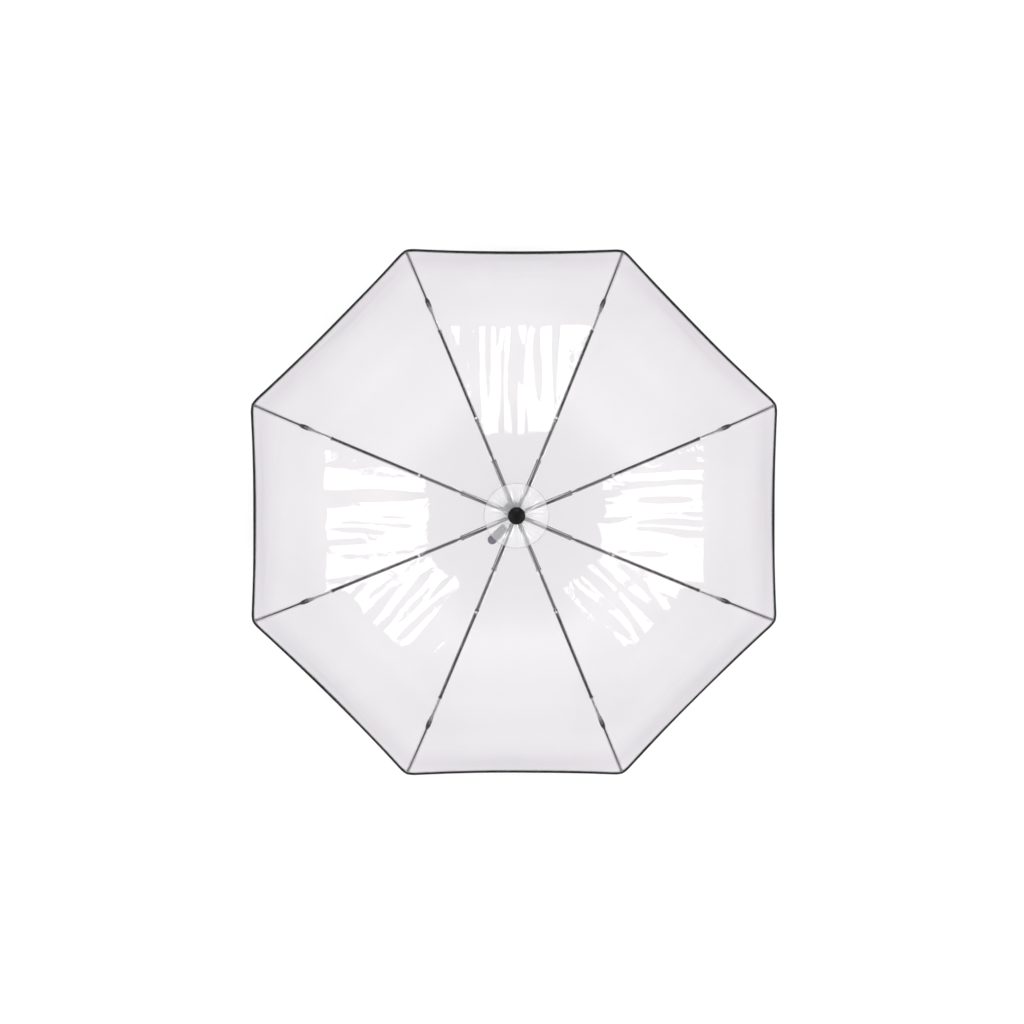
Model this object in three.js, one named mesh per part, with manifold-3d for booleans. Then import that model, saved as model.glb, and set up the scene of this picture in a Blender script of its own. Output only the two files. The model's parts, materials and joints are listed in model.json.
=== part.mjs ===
// Clear three-fold umbrella, open: eight clear panels with a black hem on an eight-rib folding frame.
// Millimetres, +Z up along the shaft, origin at the middle of the hand grip.

import * as THREE from 'three';
import { mergeVertices } from 'three/addons/utils/BufferGeometryUtils.js';
import Module from 'manifold-3d';

const wasm = await Module();
wasm.setup();

// ---- driving dimensions ----------------------------------------------------------------------

const RIB_COUNT = 8;
const FIRST_RIB_AZIMUTH = Math.PI / RIB_COUNT;
const CROWN_Z = 495; // height of the ring of pins that the top ribs hang on
const RUNNER_Z = CROWN_Z - 68; // height of the runner's pins when it is latched open
const PIN_RING_RADIUS = 9.5;

// One rib, followed from the crown to its tip. Slopes are downwards.
const TOP_RIB_LENGTH = 151.6;
const TOP_RIB_SLOPE = THREE.MathUtils.degToRad(7);
const MIDDLE_RIB_LENGTH = 165.2;
const MIDDLE_RIB_SLOPE = THREE.MathUtils.degToRad(17);
const ARM_LENGTH = 56;
const ARM_SLOPE = THREE.MathUtils.degToRad(27);
const CONNECTOR_LENGTH = 10;
const ROD_HALF_LENGTH = 70;
const ROD_START_SLOPE = THREE.MathUtils.degToRad(31);
const ROD_END_SLOPE = THREE.MathUtils.degToRad(57);
const TIP_LENGTH = 8;
const STRETCHER_LENGTH = 100;
const STRETCHER_RISE = THREE.MathUtils.degToRad(35.5);
const STRETCHER_RIVET_X = 82; // where the stretcher meets the top rib

// Each folding pin sits this far off the rib's own line, so that the folded lengths lie side by side.
const PIN_OFFSET = 2.4;
const PIN_RADIUS = 0.8;
const PIN_HOLE_RADIUS = 1.1;
const EYE_RADIUS = 2.2;

// Half widths across a rib: the top rib, the cheeks beside it, the stretcher's bars beside it.
const TOP_RIB_HALF = 1.3;
const EYE_HALF = 1.2;
const CHEEK_INNER = 1.6;
const CHEEK_OUTER = 2.3;
const STRETCHER_INNER = 2.1;
const STRETCHER_OUTER = 3.4;
const CLASP_LENGTH = 60; // how far the middle rib's cheeks reach inwards along the top rib
const CHANNEL_HEIGHT = 3.6;
const CHANNEL_WALL = 0.5;
const LINK_HALF_HEIGHT = 1.4; // the solid ends of the top rib
const BAR_HALF_HEIGHT = 1.3; // the stretcher's flat bars
const STRETCHER_WEB_END = 24; // where the stretcher's web ends and its two bars part
const ARM_HALF_WIDTH = 1.9;
const SEAT_HALF_WIDTH = 3.3;
const SEAT_LENGTH = 18;
const ARM_THICKNESS = 3;
const CONNECTOR_HALF_WIDTH = 3.4;
const CONNECTOR_THICKNESS = 3.8;
const CONNECTOR_GAP = 0.3;
const ROD_RADIUS = 1.4;
const TIP_RADIUS = 2.3;
const CUT_HALF = 3; // half length of the tools that cut pin holes

const TUBE_TOP_RADIUS = 6;
const TUBE_MIDDLE_RADIUS = 5.1;
const TUBE_LOWER_RADIUS = 4.2;
const TUBE_WALL = 0.65;
const TUBE_TOP_END_Z = CROWN_Z - 210;
const TUBE_MIDDLE_END_Z = TUBE_TOP_END_Z - 130;
const TUBE_OVERLAP = 40;

const BORE_GAP = 0.25; // between the top tube and the parts round it
const GRIP_LENGTH = 60;
const GRIP_RADIUS = 17;
const GRIP_BORE_DEPTH = 44;
const CAP_RADIUS = 13.5;
const CAP_SKIRT_Z = 10.4; // heights above the crown's pins
const CAP_BORE_END_Z = 22;
const CAP_EDGE_RADIUS = 4;

const CANOPY_THICKNESS = 0.15;
const CANOPY_HOLE_RADIUS = 7.2;
const CANOPY_HUB_Z = CROWN_Z + 8;
const CANOPY_LIFT_HINGE = 6.4; // the canopy's height above a rib at its first fold
const CANOPY_LIFT_RIM = 5;
const SEAM_GAP = 0.3;
const PANEL_BOW = 4.5; // how far the hem bows towards the shaft half-way between two ribs
const HEM_HALF_WIDTH = 2;
const HEM_HALF_THICKNESS = 1.1;
const DISC_RADIUS = 50;
const DISC_THICKNESS = 0.6;
const LABEL_HALF_WIDTH = 7;
const LABEL_LENGTH = 36;
const LABEL_THICKNESS = 0.6;
const LABEL_START_RADIUS = 24;
const LABEL_SLOPE = THREE.MathUtils.degToRad(9);
const ROUND_SIDES = 32;

// ---- materials -------------------------------------------------------------------------------

const material = (color, roughness, metalness) =>
  new THREE.MeshStandardMaterial({ color, roughness, metalness });

const blackPlastic = material(0x1c1c1e, 0.45, 0);
const blackPaint = material(0x2a2a2c, 0.4, 0.6);
const greySteel = material(0x8d8d90, 0.35, 0.9);
const silver = material(0xb9babd, 0.3, 0.95);
const blackTape = material(0x3a3a3c, 0.9, 0);
const greyLabel = material(0x8a8794, 0.8, 0);
const clearVinyl = material(0xf1edf0, 0.08, 0);
clearVinyl.transparent = true;
clearVinyl.opacity = 0.25;

// ---- joining and cutting ---------------------------------------------------------------------

function solidOf(geometry) {
  const bare = geometry.clone();
  bare.deleteAttribute('normal');
  bare.deleteAttribute('uv');
  const merged = mergeVertices(bare, 1e-4);
  return new wasm.Manifold(new wasm.Mesh({
    numProp: 3,
    vertProperties: new Float32Array(merged.attributes.position.array),
    triVerts: new Uint32Array(merged.index.array),
  }));
}

function geometryOf(solid) {
  const mesh = solid.getMesh();
  const geometry = new THREE.BufferGeometry();
  geometry.setAttribute('position', new THREE.BufferAttribute(mesh.vertProperties, 3));
  geometry.setIndex(new THREE.BufferAttribute(mesh.triVerts, 1));
  geometry.computeVertexNormals();
  return geometry;
}

function join(...geometries) {
  return geometryOf(geometries.map(solidOf).reduce((whole, piece) => whole.add(piece)));
}

function cut(geometry, ...tools) {
  return geometryOf(tools.map(solidOf).reduce((whole, tool) => whole.subtract(tool), solidOf(geometry)));
}

// ---- simple shapes ---------------------------------------------------------------------------

function block(xLow, xHigh, yLow, yHigh, zLow, zHigh) {
  const geometry = new THREE.BoxGeometry(xHigh - xLow, yHigh - yLow, zHigh - zLow);
  return geometry.translate((xLow + xHigh) / 2, (yLow + yHigh) / 2, (zLow + zHigh) / 2);
}

// A round plug along Y.
function plugAlongY(x, z, radius, yLow, yHigh, sides = 12) {
  const geometry = new THREE.CylinderGeometry(radius, radius, yHigh - yLow, sides);
  return geometry.translate(x, (yLow + yHigh) / 2, z);
}

// A U-shaped channel that opens downwards, along +X.
function channel(xLow, xHigh, halfWidth, zLow, zHigh) {
  const innerHalf = halfWidth - CHANNEL_WALL;
  const innerTop = zHigh - CHANNEL_WALL;
  const section = new THREE.Shape();
  section.moveTo(-halfWidth, zLow);
  section.lineTo(-innerHalf, zLow);
  section.lineTo(-innerHalf, innerTop);
  section.lineTo(innerHalf, innerTop);
  section.lineTo(innerHalf, zLow);
  section.lineTo(halfWidth, zLow);
  section.lineTo(halfWidth, zHigh);
  section.lineTo(-halfWidth, zHigh);
  const geometry = new THREE.ExtrudeGeometry(section, { depth: xHigh - xLow, bevelEnabled: false });
  const sectionToRib = new THREE.Matrix4().makeBasis(
    new THREE.Vector3(0, 1, 0),
    new THREE.Vector3(0, 0, 1),
    new THREE.Vector3(1, 0, 0),
  );
  return geometry.applyMatrix4(sectionToRib).translate(xLow, 0, 0);
}

// A body of revolution about Z from [radius, height] pairs, the outline closed on itself.
function turned(outline, sides) {
  const points = [...outline, outline[0]].map(([radius, height]) => new THREE.Vector2(radius, height));
  const geometry = new THREE.LatheGeometry(points, sides);
  return geometry.rotateX(Math.PI / 2);
}

// The same outline for a solid that reaches the axis: it starts and ends on it.
function turnedSolid(outline, sides) {
  const points = outline.map(([radius, height]) => new THREE.Vector2(radius, height));
  return new THREE.LatheGeometry(points, sides).rotateX(Math.PI / 2);
}

function ribAzimuth(index) {
  return FIRST_RIB_AZIMUTH + (index * 2 * Math.PI) / RIB_COUNT;
}

// ---- the rib's line in its own upright plane: x outwards from the shaft, y upwards --------------

const stepAlong = (start, slope, distance) =>
  new THREE.Vector2(start.x + distance * Math.cos(slope), start.y - distance * Math.sin(slope));
const stepAcross = (start, slope, distance) =>
  new THREE.Vector2(start.x + distance * Math.sin(slope), start.y + distance * Math.cos(slope));

const crownPin = new THREE.Vector2(PIN_RING_RADIUS, CROWN_Z);
const firstFold = stepAlong(crownPin, TOP_RIB_SLOPE, TOP_RIB_LENGTH);
const middleRibCentre = stepAlong(firstFold, MIDDLE_RIB_SLOPE, MIDDLE_RIB_LENGTH / 2);
const secondFold = stepAlong(firstFold, MIDDLE_RIB_SLOPE, MIDDLE_RIB_LENGTH);
const armEnd = stepAlong(secondFold, ARM_SLOPE, ARM_LENGTH);
const rodStart = stepAlong(armEnd, ARM_SLOPE, CONNECTOR_LENGTH);
const rodControl = stepAlong(rodStart, ROD_START_SLOPE, ROD_HALF_LENGTH);
const rodEnd = stepAlong(rodControl, ROD_END_SLOPE, ROD_HALF_LENGTH);
const tipEnd = stepAlong(rodEnd, ROD_END_SLOPE, TIP_LENGTH);

// The first pin is above the rib's line and the second one is below it.
const firstPin = stepAcross(firstFold, TOP_RIB_SLOPE, PIN_OFFSET);
const middleRibStart = stepAcross(firstPin, MIDDLE_RIB_SLOPE, -PIN_OFFSET);
const secondPin = stepAcross(
  stepAlong(middleRibStart, MIDDLE_RIB_SLOPE, MIDDLE_RIB_LENGTH),
  MIDDLE_RIB_SLOPE,
  -PIN_OFFSET,
);

// ---- the canopy's line above a rib -------------------------------------------------------------

const rodCurve = new THREE.QuadraticBezierCurve(rodStart, rodControl, rodEnd);

// The canopy's line beside the sprung rod, at this share of the rod's length.
function pointAboveRod(share) {
  const slope = THREE.MathUtils.lerp(ROD_START_SLOPE, ROD_END_SLOPE, share);
  return stepAcross(rodCurve.getPoint(share), slope, CANOPY_LIFT_RIM);
}

const canopyLine = new THREE.SplineCurve([
  new THREE.Vector2(CANOPY_HOLE_RADIUS, CANOPY_HUB_Z),
  new THREE.Vector2(PIN_RING_RADIUS + 6, CANOPY_HUB_Z - 0.3),
  stepAcross(firstFold, TOP_RIB_SLOPE, CANOPY_LIFT_HINGE),
  stepAcross(middleRibCentre, MIDDLE_RIB_SLOPE, CANOPY_LIFT_RIM),
  stepAcross(secondFold, MIDDLE_RIB_SLOPE, CANOPY_LIFT_RIM),
  stepAcross(armEnd, ARM_SLOPE, CANOPY_LIFT_RIM),
  pointAboveRod(0.4),
  pointAboveRod(0.75),
  stepAcross(tipEnd, ROD_END_SLOPE, CANOPY_LIFT_RIM),
]);

// A point of the canopy: along goes from the hub (0) to the rim (1), across goes from one rib (0)
// to the next (1), lift moves it off the surface, along the rib line's upward normal.
function canopyPoint(panel, along, across, lift) {
  const tangent = canopyLine.getTangentAt(along);
  const lifted = stepAcross(canopyLine.getPointAt(along), Math.atan2(-tangent.y, tangent.x), lift);
  const bow = PANEL_BOW * along ** 2 * 4 * across * (1 - across);
  const left = ribAzimuth(panel);
  const right = ribAzimuth(panel + 1);
  const middle = (left + right) / 2;
  const from = new THREE.Vector3(lifted.x * Math.cos(left), lifted.x * Math.sin(left), lifted.y);
  const to = new THREE.Vector3(lifted.x * Math.cos(right), lifted.x * Math.sin(right), lifted.y);
  const point = from.lerp(to, across);
  point.x -= bow * Math.cos(middle);
  point.y -= bow * Math.sin(middle);
  return point;
}

// A panel is a box bent onto the canopy: its X runs hub to rim, its Y rib to rib, its Z through it.
function canopyPanel(panel) {
  const geometry = new THREE.BoxGeometry(1, 1, 1, 14, 4, 1);
  const position = geometry.attributes.position;
  const panelEnd = 1 - (HEM_HALF_WIDTH + SEAM_GAP) / canopyLine.getLength();
  for (let index = 0; index < position.count; index += 1) {
    const along = (position.getX(index) + 0.5) * panelEnd;
    const chord = 2 * canopyLine.getPointAt(along).x * Math.sin(Math.PI / RIB_COUNT);
    const seam = SEAM_GAP / 2 / chord;
    const across = seam + (position.getY(index) + 0.5) * (1 - 2 * seam);
    const lift = position.getZ(index) * CANOPY_THICKNESS;
    const point = canopyPoint(panel, along, across, lift);
    position.setXYZ(index, point.x, point.y, point.z);
  }
  geometry.computeVertexNormals();
  return geometry;
}

// The hem is one tape round the rim. Its ends meet at the first rib with a small gap.
function hemBinding() {
  const stepsPerPanel = 8;
  const points = [];
  for (let step = 0; step <= stepsPerPanel * RIB_COUNT; step += 1) {
    const panel = Math.floor(step / stepsPerPanel) % RIB_COUNT;
    const across = (step % stepsPerPanel) / stepsPerPanel;
    points.push(canopyPoint(panel, 1, across, 0));
  }
  points[0].lerp(points[1], 0.02);
  points[points.length - 1].lerp(points[points.length - 2], 0.02);
  const path = new THREE.CatmullRomCurve3(points, false, 'catmullrom', 0.2);
  const section = new THREE.Shape();
  section.absellipse(0, 0, HEM_HALF_THICKNESS, HEM_HALF_WIDTH, 0, 2 * Math.PI);
  return new THREE.ExtrudeGeometry(section, {
    steps: points.length - 1,
    curveSegments: 2,
    bevelEnabled: false,
    extrudePath: path,
  });
}

// ---- the rib's pieces, each with its inner pin at its own origin, along +X ------------------------

function topRib() {
  const half = CHANNEL_HEIGHT / 2;
  const rib = join(
    plugAlongY(0, 0, EYE_RADIUS, -EYE_HALF, EYE_HALF),
    block(0, 8, -EYE_HALF, EYE_HALF, -LINK_HALF_HEIGHT, LINK_HALF_HEIGHT),
    channel(6, TOP_RIB_LENGTH - 4, TOP_RIB_HALF, -half, half),
    block(TOP_RIB_LENGTH - 8, TOP_RIB_LENGTH, -EYE_HALF, EYE_HALF, -LINK_HALF_HEIGHT, PIN_OFFSET),
    plugAlongY(TOP_RIB_LENGTH, PIN_OFFSET, EYE_RADIUS, -EYE_HALF, EYE_HALF),
    plugAlongY(STRETCHER_RIVET_X, 0, 1.1, -CHEEK_INNER + 0.1, CHEEK_INNER - 0.1, 8),
  );
  return cut(
    rib,
    plugAlongY(0, 0, PIN_HOLE_RADIUS, -CUT_HALF, CUT_HALF, 8),
    plugAlongY(TOP_RIB_LENGTH, PIN_OFFSET, PIN_HOLE_RADIUS, -CUT_HALF, CUT_HALF, 8),
  );
}

// The low and high Y of a plate between these two half widths, on the side -1 or 1.
function onSide(side, inner, outer) {
  return side < 0 ? [-outer, -inner] : [inner, outer];
}

// Two flat bars straddle the top rib. They join in a web near the runner and end in open eyes.
function stretcher() {
  const pieces = [
    plugAlongY(0, 0, EYE_RADIUS, -EYE_HALF, EYE_HALF),
    block(0, 11, -EYE_HALF, EYE_HALF, -BAR_HALF_HEIGHT, BAR_HALF_HEIGHT),
    block(9, STRETCHER_WEB_END, -STRETCHER_OUTER, STRETCHER_OUTER, -BAR_HALF_HEIGHT, BAR_HALF_HEIGHT),
  ];
  for (const side of [-1, 1]) {
    const [yLow, yHigh] = onSide(side, STRETCHER_INNER, STRETCHER_OUTER);
    const barStart = STRETCHER_WEB_END - 4;
    pieces.push(block(barStart, STRETCHER_LENGTH, yLow, yHigh, -BAR_HALF_HEIGHT, BAR_HALF_HEIGHT));
    pieces.push(plugAlongY(STRETCHER_LENGTH, 0, EYE_RADIUS, yLow, yHigh));
  }
  return cut(join(...pieces), plugAlongY(0, 0, PIN_HOLE_RADIUS, -CUT_HALF, CUT_HALF, 8));
}

// The middle rib's cheeks clasp the top rib and carry the pin through its eye. They reach inwards
// along the top rib, and at the far end a second pair of cheeks clasps the outer arm.
function middleRib() {
  const zHigh = -PIN_OFFSET + CHANNEL_HEIGHT / 2;
  const zLow = -PIN_OFFSET - CHANNEL_HEIGHT / 2;
  const pieces = [channel(6, MIDDLE_RIB_LENGTH, CHEEK_OUTER, zLow, zHigh)];
  for (const side of [-1, 1]) {
    const [yLow, yHigh] = onSide(side, CHEEK_INNER, CHEEK_OUTER);
    const tail = block(-CLASP_LENGTH, 0, yLow, yHigh, zLow + 0.6, zHigh - 0.6);
    tail.rotateY(TOP_RIB_SLOPE - MIDDLE_RIB_SLOPE);
    pieces.push(tail);
    pieces.push(plugAlongY(0, 0, EYE_RADIUS + 0.2, yLow, yHigh));
    pieces.push(block(-1.5, 10, yLow, yHigh, zLow, zHigh));
    pieces.push(block(MIDDLE_RIB_LENGTH - 6, MIDDLE_RIB_LENGTH + 1, yLow, yHigh, zLow - 2, zHigh));
    pieces.push(plugAlongY(MIDDLE_RIB_LENGTH, -2 * PIN_OFFSET, EYE_RADIUS, yLow, yHigh));
  }
  pieces.push(plugAlongY(0, 0, PIN_RADIUS, -CHEEK_OUTER, CHEEK_OUTER, 8));
  pieces.push(plugAlongY(MIDDLE_RIB_LENGTH, -2 * PIN_OFFSET, PIN_RADIUS, -CHEEK_OUTER, CHEEK_OUTER, 8));
  return join(...pieces);
}

// The silver arm: a narrow bar that widens into a flat seat for the rod's connector.
function outerArm() {
  const seatStart = ARM_LENGTH - SEAT_LENGTH;
  const outline = new THREE.Shape();
  outline.moveTo(4, -ARM_HALF_WIDTH);
  outline.lineTo(seatStart, -ARM_HALF_WIDTH);
  outline.lineTo(seatStart + 3, -SEAT_HALF_WIDTH);
  outline.lineTo(ARM_LENGTH, -SEAT_HALF_WIDTH);
  outline.lineTo(ARM_LENGTH, SEAT_HALF_WIDTH);
  outline.lineTo(seatStart + 3, SEAT_HALF_WIDTH);
  outline.lineTo(seatStart, ARM_HALF_WIDTH);
  outline.lineTo(4, ARM_HALF_WIDTH);
  const bar = new THREE.ExtrudeGeometry(outline, { depth: ARM_THICKNESS, bevelEnabled: false });
  bar.translate(0, 0, PIN_OFFSET - ARM_THICKNESS / 2);
  const arm = join(
    bar,
    block(0, 6, -EYE_HALF, EYE_HALF, 0, PIN_OFFSET + 1),
    plugAlongY(0, 0, EYE_RADIUS, -EYE_HALF, EYE_HALF),
  );
  return cut(arm, plugAlongY(0, 0, PIN_HOLE_RADIUS, -CUT_HALF, CUT_HALF, 8));
}

// Black moulded connector, sprung rod and tip, in the arm's own frame.
function tipRod() {
  const connectorStart = ARM_LENGTH + CONNECTOR_GAP;
  const outline = new THREE.Shape();
  outline.moveTo(connectorStart, -CONNECTOR_HALF_WIDTH);
  outline.lineTo(connectorStart + 3, -CONNECTOR_HALF_WIDTH);
  outline.lineTo(connectorStart + CONNECTOR_LENGTH, -ARM_HALF_WIDTH);
  outline.lineTo(connectorStart + CONNECTOR_LENGTH, ARM_HALF_WIDTH);
  outline.lineTo(connectorStart + 3, CONNECTOR_HALF_WIDTH);
  outline.lineTo(connectorStart, CONNECTOR_HALF_WIDTH);
  const connector = new THREE.ExtrudeGeometry(outline, { depth: CONNECTOR_THICKNESS, bevelEnabled: false });
  connector.translate(0, 0, PIN_OFFSET - CONNECTOR_THICKNESS / 2);

  const start = new THREE.Vector3(ARM_LENGTH + CONNECTOR_LENGTH - 2, 0, PIN_OFFSET);
  const turnAtStart = ROD_START_SLOPE - ARM_SLOPE;
  const turnAtEnd = ROD_END_SLOPE - ARM_SLOPE;
  const direction = (turn) => new THREE.Vector3(Math.cos(turn), 0, -Math.sin(turn));
  const control = start.clone().addScaledVector(direction(turnAtStart), ROD_HALF_LENGTH + 2);
  const end = control.clone().addScaledVector(direction(turnAtEnd), ROD_HALF_LENGTH);
  const section = new THREE.Shape();
  section.absarc(0, 0, ROD_RADIUS, 0, 2 * Math.PI);
  const rod = new THREE.ExtrudeGeometry(section, {
    steps: 10,
    curveSegments: 4,
    bevelEnabled: false,
    extrudePath: new THREE.QuadraticBezierCurve3(start, control, end),
  });

  const tipOutline = [
    [0, -3], [TIP_RADIUS - 0.4, -3], [TIP_RADIUS, 0],
    [TIP_RADIUS, TIP_LENGTH - 2], [TIP_RADIUS - 0.9, TIP_LENGTH], [0, TIP_LENGTH],
  ];
  const tip = turnedSolid(tipOutline, 8);
  tip.rotateY(Math.PI / 2 + turnAtEnd);
  tip.translate(end.x, 0, end.z);
  return join(connector, rod, tip);
}

// ---- hub, shaft and handle -----------------------------------------------------------------------

// Cuts eight slots into a turned ring and puts a pin across each.
function slottedRing(ring, slotLow, slotHigh) {
  let solid = solidOf(ring);
  for (let index = 0; index < RIB_COUNT; index += 1) {
    const slot = block(7.2, 20, -CHEEK_INNER, CHEEK_INNER, slotLow, slotHigh);
    solid = solid.subtract(solidOf(slot.rotateZ(ribAzimuth(index))));
  }
  for (let index = 0; index < RIB_COUNT; index += 1) {
    const pin = plugAlongY(PIN_RING_RADIUS, 0, PIN_RADIUS, -CHEEK_INNER - 0.5, CHEEK_INNER + 0.5, 8);
    solid = solid.add(solidOf(pin.rotateZ(ribAzimuth(index))));
  }
  return geometryOf(solid);
}

function crown() {
  const bore = TUBE_TOP_RADIUS + BORE_GAP;
  const outline = [[bore, -10], [8.6, -10], [12.6, -5], [12.6, 5.4], [11.4, 7], [bore, 7]];
  return slottedRing(turned(outline, ROUND_SIDES), -12, 3.2);
}

function runner() {
  const bore = TUBE_TOP_RADIUS + BORE_GAP;
  const outline = [
    [bore, -14], [9.4, -14], [9.4, -12], [8.2, -11], [8.2, -7],
    [12.6, -5], [12.6, 3.6], [11.8, 4.4], [bore, 4.4],
  ];
  return slottedRing(turned(outline, ROUND_SIDES), -3, 6);
}

function cap() {
  const bore = TUBE_TOP_RADIUS + BORE_GAP;
  const outline = [
    [0, CAP_BORE_END_Z], [bore, CAP_BORE_END_Z], [bore, CAP_SKIRT_Z],
    [CAP_RADIUS - 0.8, CAP_SKIRT_Z], [CAP_RADIUS, CAP_SKIRT_Z + 0.8], [CAP_RADIUS, CAP_BORE_END_Z],
  ];
  const edgeSteps = 4;
  for (let step = 1; step <= edgeSteps; step += 1) {
    const angle = (step / edgeSteps) * (Math.PI / 2);
    outline.push([
      CAP_RADIUS - CAP_EDGE_RADIUS * (1 - Math.cos(angle)),
      CAP_BORE_END_Z + CAP_EDGE_RADIUS * Math.sin(angle),
    ]);
  }
  outline.push([0, CAP_BORE_END_Z + CAP_EDGE_RADIUS + 1]);
  return turnedSolid(outline, ROUND_SIDES);
}

// The disc lies on the canopy round the cap and follows the ribs' slope.
function reinforcingDisc() {
  const low = CANOPY_HUB_Z + CANOPY_THICKNESS / 2 + 0.3;
  const slopeStart = PIN_RING_RADIUS + 6;
  const drop = (DISC_RADIUS - slopeStart) * Math.tan(TOP_RIB_SLOPE) * 0.9;
  const high = low + DISC_THICKNESS;
  return turned([
    [CANOPY_HOLE_RADIUS, low], [slopeStart, low], [DISC_RADIUS, low - drop],
    [DISC_RADIUS, high - drop], [slopeStart, high], [CANOPY_HOLE_RADIUS, high],
  ], ROUND_SIDES);
}

function tube(radius, zLow, zHigh) {
  const inner = radius - TUBE_WALL;
  return turned([[inner, zLow], [radius, zLow], [radius, zHigh], [inner, zHigh]], ROUND_SIDES);
}

function handle() {
  const half = GRIP_LENGTH / 2;
  const bore = TUBE_LOWER_RADIUS + 0.3;
  const boreEnd = half - GRIP_BORE_DEPTH;
  const outline = [
    [0, boreEnd], [bore, boreEnd], [bore, half], [11, half], [13, half - 2], [13.5, half - 6],
    [GRIP_RADIUS - 0.6, half - 9], [GRIP_RADIUS, half - 14], [GRIP_RADIUS - 0.8, -half + 10],
    [GRIP_RADIUS - 1.4, -half + 3], [GRIP_RADIUS - 4, -half], [0, -half],
  ];
  return turnedSolid(outline.reverse(), ROUND_SIDES);
}

// A thin grey tab with a rounded end, sewn under the canopy between two ribs.
function careLabel() {
  const roundStart = LABEL_LENGTH - LABEL_HALF_WIDTH;
  const outline = new THREE.Shape();
  outline.moveTo(0, -LABEL_HALF_WIDTH);
  outline.lineTo(roundStart, -LABEL_HALF_WIDTH);
  outline.absarc(roundStart, 0, LABEL_HALF_WIDTH, -Math.PI / 2, Math.PI / 2);
  outline.lineTo(0, LABEL_HALF_WIDTH);
  return new THREE.ExtrudeGeometry(outline, {
    depth: LABEL_THICKNESS,
    bevelEnabled: false,
    curveSegments: 8,
  });
}

// ---- assembly ------------------------------------------------------------------------------------

function piece(name, geometry, finish) {
  const mesh = new THREE.Mesh(geometry, finish);
  mesh.name = name;
  return mesh;
}

function placeInRibPlane(mesh, point, slope) {
  mesh.position.set(point.x, 0, point.y);
  mesh.rotation.y = slope;
  return mesh;
}

function ribAssembly(index) {
  const number = index + 1;
  const runnerPin = new THREE.Vector2(PIN_RING_RADIUS, RUNNER_Z);
  const rib = new THREE.Group();
  const add = (name, geometry, finish, point, slope) => {
    rib.add(placeInRibPlane(piece(`${name}_${number}`, geometry, finish), point, slope));
  };
  rib.rotation.z = ribAzimuth(index);
  add('top_rib', topRib(), greySteel, crownPin, TOP_RIB_SLOPE);
  add('stretcher', stretcher(), blackPaint, runnerPin, -STRETCHER_RISE);
  add('middle_rib', middleRib(), blackPaint, firstPin, MIDDLE_RIB_SLOPE);
  add('outer_arm', outerArm(), silver, secondPin, ARM_SLOPE);
  add('tip_rod', tipRod(), blackPlastic, secondPin, ARM_SLOPE);
  return rib;
}

const umbrella = new THREE.Group();

const hub = new THREE.Group();
hub.position.z = CROWN_Z;
hub.add(piece('crown', crown(), blackPlastic));
hub.add(piece('cap', cap(), blackPlastic));
umbrella.add(hub);

const slide = piece('runner', runner(), blackPlastic);
slide.position.z = RUNNER_Z;
umbrella.add(slide);

umbrella.add(piece('reinforcing_disc', reinforcingDisc(), clearVinyl));
umbrella.add(piece('top_tube', tube(TUBE_TOP_RADIUS, TUBE_TOP_END_Z, CROWN_Z + 21.5), blackPaint));
umbrella.add(piece(
  'middle_tube',
  tube(TUBE_MIDDLE_RADIUS, TUBE_MIDDLE_END_Z, TUBE_TOP_END_Z + TUBE_OVERLAP),
  blackPaint,
));
umbrella.add(piece(
  'lower_tube',
  tube(TUBE_LOWER_RADIUS, -GRIP_LENGTH / 2 + 16.5, TUBE_MIDDLE_END_Z + TUBE_OVERLAP - 2),
  blackPaint,
));
umbrella.add(piece('handle', handle(), blackPlastic));

const label = piece('care_label', careLabel(), greyLabel);
const labelAzimuth = ribAzimuth(4) + Math.PI / RIB_COUNT;
label.position.set(
  LABEL_START_RADIUS * Math.cos(labelAzimuth),
  LABEL_START_RADIUS * Math.sin(labelAzimuth),
  CROWN_Z + 3.4,
);
label.rotation.set(0, LABEL_SLOPE, labelAzimuth, 'ZYX');
umbrella.add(label);

for (let index = 0; index < RIB_COUNT; index += 1) {
  umbrella.add(ribAssembly(index));
  umbrella.add(piece(`canopy_panel_${index + 1}`, canopyPanel(index), clearVinyl));
}
umbrella.add(piece('hem_binding', hemBinding(), blackTape));

export default umbrella;
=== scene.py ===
# Clear three-fold umbrella, open, seen from above. Metres, +Z up, origin at the middle of the grip.
import json
import math

import bmesh
import bpy
import numpy as np
from mathutils import Matrix, Vector, noise


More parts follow.
